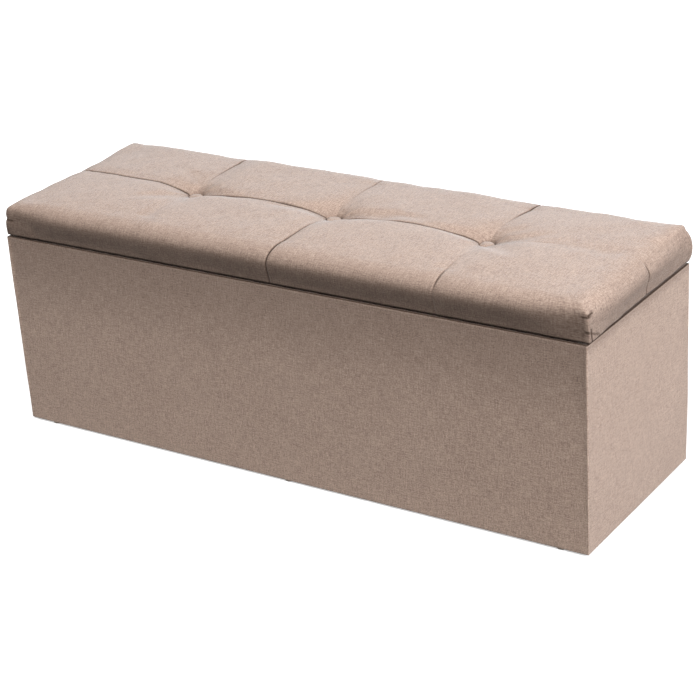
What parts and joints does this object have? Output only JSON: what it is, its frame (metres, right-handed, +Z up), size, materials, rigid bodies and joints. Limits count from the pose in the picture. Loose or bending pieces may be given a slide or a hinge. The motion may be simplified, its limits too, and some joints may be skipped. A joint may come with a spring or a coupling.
{
  "type": "storage bench",
  "caption": "Upholstered box bench with a hinged, button-tufted seat lid that gas struts hold open over a storage space.",
  "frame": {"origin": "on the floor, under the middle of the bench", "axes": "+X along the bench to the right end, +Y to the hinged back, +Z up"},
  "size_m": [1.117, 0.373, 0.417],
  "materials": {
    "upholstery": "woven linen-look cloth, taupe with lighter and darker threads",
    "lining": "pressed non-woven felt, matt",
    "dust_cloth": "thin black non-woven cloth",
    "board": "raw fibreboard",
    "batten": "planed pine",
    "foam": "open-cell foam, cream",
    "twine": "waxed linen twine",
    "zinc_steel": "zinc plated",
    "hinge_steel": "nickel plated, satin",
    "glide": "black moulded",
    "buffer": "soft grey",
    "strut_tube": "black enamel, satin",
    "strut_rod": "polished",
    "strut_socket": "glass-filled nylon",
    "bracket_steel": "zinc plated"
  },
  "bodies": {
    "box": {"back_batten": "batten", "back_panel": "board", "base_dust_cover": "dust_cloth", "base_staples": "zinc_steel", "batten_screws": "zinc_steel", "body_cover": "upholstery", "carcass_screws": "zinc_steel", "floor_board": "board", "floor_screws": "zinc_steel", "front_batten": "batten", "front_panel": "board", "glide_back_left": "glide", "glide_back_middle": "glide", "glide_back_right": "glide", "glide_front_left": "glide", "glide_front_middle": "glide", "glide_front_right": "glide", "hinge_left_body_leaf": "hinge_steel", "hinge_left_pin": "hinge_steel", "hinge_middle_body_leaf": "hinge_steel", "hinge_middle_pin": "hinge_steel", "hinge_right_body_leaf": "hinge_steel", "hinge_right_pin": "hinge_steel", "hinge_screws_body": "hinge_steel", "interior_lining": "lining", "left_batten": "batten", "left_end_panel": "board", "right_batten": "batten", "right_end_panel": "board", "rim_staples": "zinc_steel", "strut_left_body_bracket": "bracket_steel", "strut_right_body_bracket": "bracket_steel", "strut_screws_body": "bracket_steel"},
    "lid": {"lid_board": "board", "seat_foam": "foam", "seat_cover": "upholstery", "lid_dust_cover": "dust_cloth", "lid_staples": "zinc_steel", "lid_buffers": "buffer", "button_left": "upholstery", "button_middle": "upholstery", "button_right": "upholstery", "button_twine": "twine", "button_washers": "zinc_steel", "hinge_left_lid_leaf": "hinge_steel", "hinge_middle_lid_leaf": "hinge_steel", "hinge_right_lid_leaf": "hinge_steel", "hinge_screws_lid": "hinge_steel", "strut_left_lid_bracket": "bracket_steel", "strut_right_lid_bracket": "bracket_steel", "strut_screws_lid": "bracket_steel"},
    "strut_left_tube": {"strut_left_cylinder": "strut_tube", "strut_left_cylinder_end": "strut_socket"},
    "strut_left_plunger": {"strut_left_rod": "strut_rod", "strut_left_rod_end": "strut_socket"},
    "strut_right_tube": {"strut_right_cylinder": "strut_tube", "strut_right_cylinder_end": "strut_socket"},
    "strut_right_plunger": {"strut_right_rod": "strut_rod", "strut_right_rod_end": "strut_socket"}
  },
  "joints": [
    {"name": "lid_hinge", "type": "hinge", "parent": "box", "child": "lid", "pos_m": [0, 0.1815, 0.349], "axis": [-1, 0, 0], "range_deg": [0, 80]},
    {"name": "strut_left_tube_swing", "type": "hinge", "parent": "box", "child": "strut_left_tube", "pos_m": [-0.518, 0.145, 0.19322], "axis": [-1, 0, 0], "range_deg": [0, 40]},
    {"name": "strut_left_plunger_swing", "type": "hinge", "parent": "lid", "child": "strut_left_plunger", "pos_m": [-0.518, 0.0223, 0.333], "axis": [-1, 0, 0], "range_deg": [-40, 0]},
    {"name": "strut_right_tube_swing", "type": "hinge", "parent": "box", "child": "strut_right_tube", "pos_m": [0.518, 0.145, 0.19322], "axis": [-1, 0, 0], "range_deg": [0, 40]},
    {"name": "strut_right_plunger_swing", "type": "hinge", "parent": "lid", "child": "strut_right_plunger", "pos_m": [0.518, 0.0223, 0.333], "axis": [-1, 0, 0], "range_deg": [-40, 0]}
  ],
  "couplings": [
    {"joint": "strut_left_tube_swing", "follows": "lid_hinge", "ratio": 0.5},
    {"joint": "strut_left_plunger_swing", "follows": "lid_hinge", "ratio": -0.5},
    {"joint": "strut_right_tube_swing", "follows": "lid_hinge", "ratio": 0.5},
    {"joint": "strut_right_plunger_swing", "follows": "lid_hinge", "ratio": -0.5}
  ]
}
